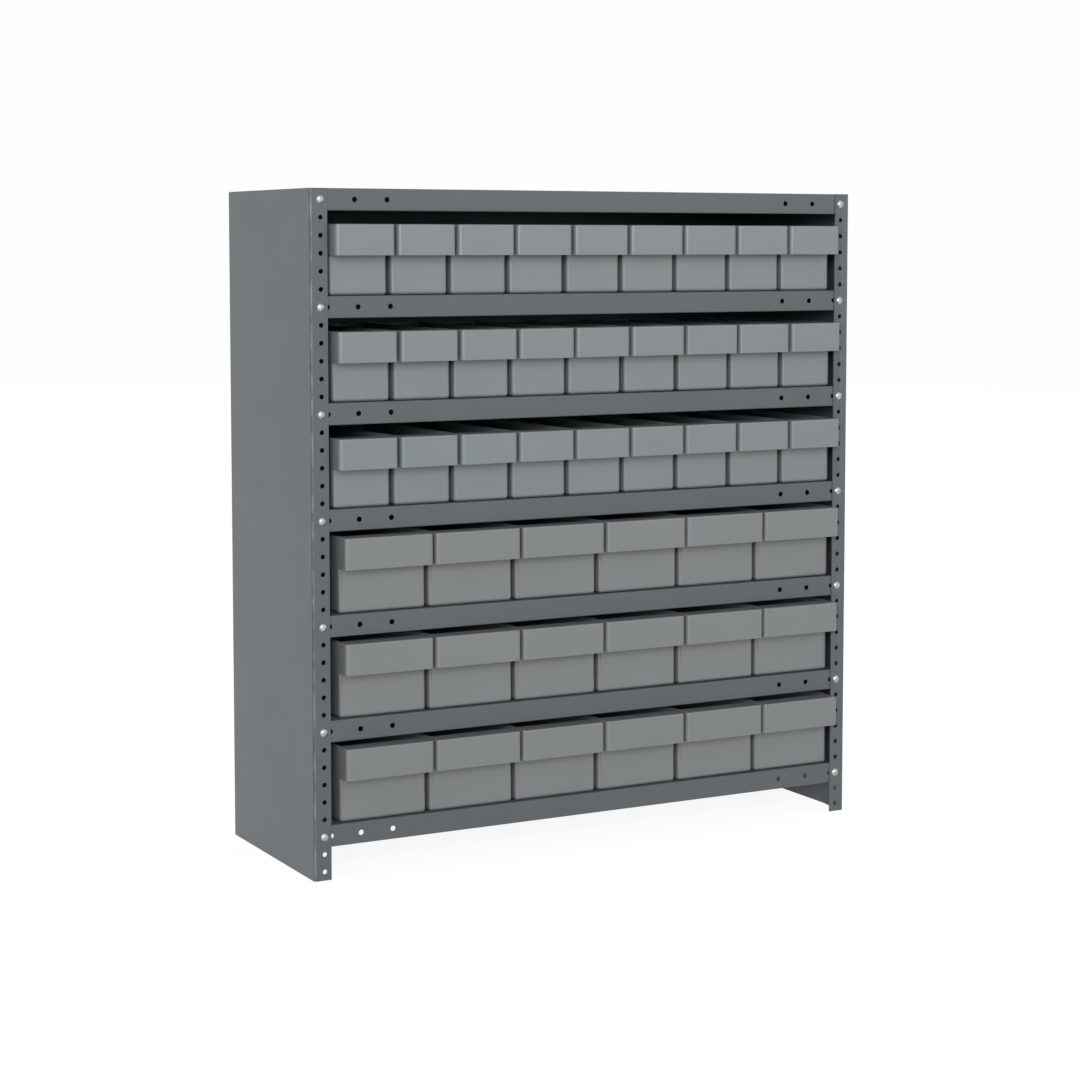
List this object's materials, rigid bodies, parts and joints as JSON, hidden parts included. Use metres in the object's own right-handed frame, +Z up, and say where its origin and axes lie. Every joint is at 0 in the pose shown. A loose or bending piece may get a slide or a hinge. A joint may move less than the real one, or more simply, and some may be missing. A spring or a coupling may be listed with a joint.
{
  "type": "bin shelving unit",
  "caption": "Closed steel bin shelving unit: perforated angle posts, bolted shelves, side and back panels, and rows of small and large grey pull-out bins.",
  "frame": {"origin": "on the floor, under the middle of the bounding box of the whole unit with its bins pushed home", "axes": "+X to the right across the front, +Y from the front to the back, +Z up; the bins pull out along -Y"},
  "size_m": [0.927, 0.3416, 0.9938],
  "materials": {
    "painted_steel": "satin blue-grey baked enamel",
    "zinc_plated_steel": "bright zinc plate",
    "bin_plastic": "matt moulded polypropylene, light grey"
  },
  "bodies": {
    "frame": {"post_front_left": "painted_steel", "post_front_right": "painted_steel", "rear_posts": "painted_steel", "side_panel_left": "painted_steel", "side_panel_right": "painted_steel", "back_panel": "painted_steel", "shelf_bolts": "zinc_plated_steel", "shelf_nuts": "zinc_plated_steel", "shelf_1": "painted_steel", "shelf_2": "painted_steel", "shelf_3": "painted_steel", "shelf_4": "painted_steel", "shelf_5": "painted_steel", "shelf_6": "painted_steel", "shelf_7": "painted_steel"},
    "bin_small_r1_c1": {"bin_small_r1_c1": "bin_plastic"},
    "bin_small_r1_c2": {"bin_small_r1_c2": "bin_plastic"},
    "bin_small_r1_c3": {"bin_small_r1_c3": "bin_plastic"},
    "bin_small_r1_c4": {"bin_small_r1_c4": "bin_plastic"},
    "bin_small_r1_c5": {"bin_small_r1_c5": "bin_plastic"},
    "bin_small_r1_c6": {"bin_small_r1_c6": "bin_plastic"},
    "bin_small_r1_c7": {"bin_small_r1_c7": "bin_plastic"},
    "bin_small_r1_c8": {"bin_small_r1_c8": "bin_plastic"},
    "bin_small_r1_c9": {"bin_small_r1_c9": "bin_plastic"},
    "bin_small_r2_c1": {"bin_small_r2_c1": "bin_plastic"},
    "bin_small_r2_c2": {"bin_small_r2_c2": "bin_plastic"},
    "bin_small_r2_c3": {"bin_small_r2_c3": "bin_plastic"},
    "bin_small_r2_c4": {"bin_small_r2_c4": "bin_plastic"},
    "bin_small_r2_c5": {"bin_small_r2_c5": "bin_plastic"},
    "bin_small_r2_c6": {"bin_small_r2_c6": "bin_plastic"},
    "bin_small_r2_c7": {"bin_small_r2_c7": "bin_plastic"},
    "bin_small_r2_c8": {"bin_small_r2_c8": "bin_plastic"},
    "bin_small_r2_c9": {"bin_small_r2_c9": "bin_plastic"},
    "bin_small_r3_c1": {"bin_small_r3_c1": "bin_plastic"},
    "bin_small_r3_c2": {"bin_small_r3_c2": "bin_plastic"},
    "bin_small_r3_c3": {"bin_small_r3_c3": "bin_plastic"},
    "bin_small_r3_c4": {"bin_small_r3_c4": "bin_plastic"},
    "bin_small_r3_c5": {"bin_small_r3_c5": "bin_plastic"},
    "bin_small_r3_c6": {"bin_small_r3_c6": "bin_plastic"},
    "bin_small_r3_c7": {"bin_small_r3_c7": "bin_plastic"},
    "bin_small_r3_c8": {"bin_small_r3_c8": "bin_plastic"},
    "bin_small_r3_c9": {"bin_small_r3_c9": "bin_plastic"},
    "bin_large_r4_c1": {"bin_large_r4_c1": "bin_plastic"},
    "bin_large_r4_c2": {"bin_large_r4_c2": "bin_plastic"},
    "bin_large_r4_c3": {"bin_large_r4_c3": "bin_plastic"},
    "bin_large_r4_c4": {"bin_large_r4_c4": "bin_plastic"},
    "bin_large_r4_c5": {"bin_large_r4_c5": "bin_plastic"},
    "bin_large_r4_c6": {"bin_large_r4_c6": "bin_plastic"},
    "bin_large_r5_c1": {"bin_large_r5_c1": "bin_plastic"},
    "bin_large_r5_c2": {"bin_large_r5_c2": "bin_plastic"},
    "bin_large_r5_c3": {"bin_large_r5_c3": "bin_plastic"},
    "bin_large_r5_c4": {"bin_large_r5_c4": "bin_plastic"},
    "bin_large_r5_c5": {"bin_large_r5_c5": "bin_plastic"},
    "bin_large_r5_c6": {"bin_large_r5_c6": "bin_plastic"},
    "bin_large_r6_c1": {"bin_large_r6_c1": "bin_plastic"},
    "bin_large_r6_c2": {"bin_large_r6_c2": "bin_plastic"},
    "bin_large_r6_c3": {"bin_large_r6_c3": "bin_plastic"},
    "bin_large_r6_c4": {"bin_large_r6_c4": "bin_plastic"},
    "bin_large_r6_c5": {"bin_large_r6_c5": "bin_plastic"},
    "bin_large_r6_c6": {"bin_large_r6_c6": "bin_plastic"}
  },
  "joints": [
    {"name": "bin_small_r1_c1_slide", "type": "slide", "parent": "frame", "child": "bin_small_r1_c1", "axis": [0, -1, 0], "range_m": [0, 0.25]},
    {"name": "bin_small_r1_c2_slide", "type": "slide", "parent": "frame", "child": "bin_small_r1_c2", "axis": [0, -1, 0], "range_m": [0, 0.25]},
    {"name": "bin_small_r1_c3_slide", "type": "slide", "parent": "frame", "child": "bin_small_r1_c3", "axis": [0, -1, 0], "range_m": [0, 0.25]},
    {"name": "bin_small_r1_c4_slide", "type": "slide", "parent": "frame", "child": "bin_small_r1_c4", "axis": [0, -1, 0], "range_m": [0, 0.25]},
    {"name": "bin_small_r1_c5_slide", "type": "slide", "parent": "frame", "child": "bin_small_r1_c5", "axis": [0, -1, 0], "range_m": [0, 0.25]},
    {"name": "bin_small_r1_c6_slide", "type": "slide", "parent": "frame", "child": "bin_small_r1_c6", "axis": [0, -1, 0], "range_m": [0, 0.25]},
    {"name": "bin_small_r1_c7_slide", "type": "slide", "parent": "frame", "child": "bin_small_r1_c7", "axis": [0, -1, 0], "range_m": [0, 0.25]},
    {"name": "bin_small_r1_c8_slide", "type": "slide", "parent": "frame", "child": "bin_small_r1_c8", "axis": [0, -1, 0], "range_m": [0, 0.25]},
    {"name": "bin_small_r1_c9_slide", "type": "slide", "parent": "frame", "child": "bin_small_r1_c9", "axis": [0, -1, 0], "range_m": [0, 0.25]},
    {"name": "bin_small_r2_c1_slide", "type": "slide", "parent": "frame", "child": "bin_small_r2_c1", "axis": [0, -1, 0], "range_m": [0, 0.25]},
    {"name": "bin_small_r2_c2_slide", "type": "slide", "parent": "frame", "child": "bin_small_r2_c2", "axis": [0, -1, 0], "range_m": [0, 0.25]},
    {"name": "bin_small_r2_c3_slide", "type": "slide", "parent": "frame", "child": "bin_small_r2_c3", "axis": [0, -1, 0], "range_m": [0, 0.25]},
    {"name": "bin_small_r2_c4_slide", "type": "slide", "parent": "frame", "child": "bin_small_r2_c4", "axis": [0, -1, 0], "range_m": [0, 0.25]},
    {"name": "bin_small_r2_c5_slide", "type": "slide", "parent": "frame", "child": "bin_small_r2_c5", "axis": [0, -1, 0], "range_m": [0, 0.25]},
    {"name": "bin_small_r2_c6_slide", "type": "slide", "parent": "frame", "child": "bin_small_r2_c6", "axis": [0, -1, 0], "range_m": [0, 0.25]},
    {"name": "bin_small_r2_c7_slide", "type": "slide", "parent": "frame", "child": "bin_small_r2_c7", "axis": [0, -1, 0], "range_m": [0, 0.25]},
    {"name": "bin_small_r2_c8_slide", "type": "slide", "parent": "frame", "child": "bin_small_r2_c8", "axis": [0, -1, 0], "range_m": [0, 0.25]},
    {"name": "bin_small_r2_c9_slide", "type": "slide", "parent": "frame", "child": "bin_small_r2_c9", "axis": [0, -1, 0], "range_m": [0, 0.25]},
    {"name": "bin_small_r3_c1_slide", "type": "slide", "parent": "frame", "child": "bin_small_r3_c1", "axis": [0, -1, 0], "range_m": [0, 0.25]},
    {"name": "bin_small_r3_c2_slide", "type": "slide", "parent": "frame", "child": "bin_small_r3_c2", "axis": [0, -1, 0], "range_m": [0, 0.25]},
    {"name": "bin_small_r3_c3_slide", "type": "slide", "parent": "frame", "child": "bin_small_r3_c3", "axis": [0, -1, 0], "range_m": [0, 0.25]},
    {"name": "bin_small_r3_c4_slide", "type": "slide", "parent": "frame", "child": "bin_small_r3_c4", "axis": [0, -1, 0], "range_m": [0, 0.25]},
    {"name": "bin_small_r3_c5_slide", "type": "slide", "parent": "frame", "child": "bin_small_r3_c5", "axis": [0, -1, 0], "range_m": [0, 0.25]},
    {"name": "bin_small_r3_c6_slide", "type": "slide", "parent": "frame", "child": "bin_small_r3_c6", "axis": [0, -1, 0], "range_m": [0, 0.25]},
    {"name": "bin_small_r3_c7_slide", "type": "slide", "parent": "frame", "child": "bin_small_r3_c7", "axis": [0, -1, 0], "range_m": [0, 0.25]},
    {"name": "bin_small_r3_c8_slide", "type": "slide", "parent": "frame", "child": "bin_small_r3_c8", "axis": [0, -1, 0], "range_m": [0, 0.25]},
    {"name": "bin_small_r3_c9_slide", "type": "slide", "parent": "frame", "child": "bin_small_r3_c9", "axis": [0, -1, 0], "range_m": [0, 0.25]},
    {"name": "bin_large_r4_c1_slide", "type": "slide", "parent": "frame", "child": "bin_large_r4_c1", "axis": [0, -1, 0], "range_m": [0, 0.25]},
    {"name": "bin_large_r4_c2_slide", "type": "slide", "parent": "frame", "child": "bin_large_r4_c2", "axis": [0, -1, 0], "range_m": [0, 0.25]},
    {"name": "bin_large_r4_c3_slide", "type": "slide", "parent": "frame", "child": "bin_large_r4_c3", "axis": [0, -1, 0], "range_m": [0, 0.25]},
    {"name": "bin_large_r4_c4_slide", "type": "slide", "parent": "frame", "child": "bin_large_r4_c4", "axis": [0, -1, 0], "range_m": [0, 0.25]},
    {"name": "bin_large_r4_c5_slide", "type": "slide", "parent": "frame", "child": "bin_large_r4_c5", "axis": [0, -1, 0], "range_m": [0, 0.25]},
    {"name": "bin_large_r4_c6_slide", "type": "slide", "parent": "frame", "child": "bin_large_r4_c6", "axis": [0, -1, 0], "range_m": [0, 0.25]},
    {"name": "bin_large_r5_c1_slide", "type": "slide", "parent": "frame", "child": "bin_large_r5_c1", "axis": [0, -1, 0], "range_m": [0, 0.25]},
    {"name": "bin_large_r5_c2_slide", "type": "slide", "parent": "frame", "child": "bin_large_r5_c2", "axis": [0, -1, 0], "range_m": [0, 0.25]},
    {"name": "bin_large_r5_c3_slide", "type": "slide", "parent": "frame", "child": "bin_large_r5_c3", "axis": [0, -1, 0], "range_m": [0, 0.25]},
    {"name": "bin_large_r5_c4_slide", "type": "slide", "parent": "frame", "child": "bin_large_r5_c4", "axis": [0, -1, 0], "range_m": [0, 0.25]},
    {"name": "bin_large_r5_c5_slide", "type": "slide", "parent": "frame", "child": "bin_large_r5_c5", "axis": [0, -1, 0], "range_m": [0, 0.25]},
    {"name": "bin_large_r5_c6_slide", "type": "slide", "parent": "frame", "child": "bin_large_r5_c6", "axis": [0, -1, 0], "range_m": [0, 0.25]},
    {"name": "bin_large_r6_c1_slide", "type": "slide", "parent": "frame", "child": "bin_large_r6_c1", "axis": [0, -1, 0], "range_m": [0, 0.25]},
    {"name": "bin_large_r6_c2_slide", "type": "slide", "parent": "frame", "child": "bin_large_r6_c2", "axis": [0, -1, 0], "range_m": [0, 0.25]},
    {"name": "bin_large_r6_c3_slide", "type": "slide", "parent": "frame", "child": "bin_large_r6_c3", "axis": [0, -1, 0], "range_m": [0, 0.25]},
    {"name": "bin_large_r6_c4_slide", "type": "slide", "parent": "frame", "child": "bin_large_r6_c4", "axis": [0, -1, 0], "range_m": [0, 0.25]},
    {"name": "bin_large_r6_c5_slide", "type": "slide", "parent": "frame", "child": "bin_large_r6_c5", "axis": [0, -1, 0], "range_m": [0, 0.25]},
    {"name": "bin_large_r6_c6_slide", "type": "slide", "parent": "frame", "child": "bin_large_r6_c6", "axis": [0, -1, 0], "range_m": [0, 0.25]}
  ]
}
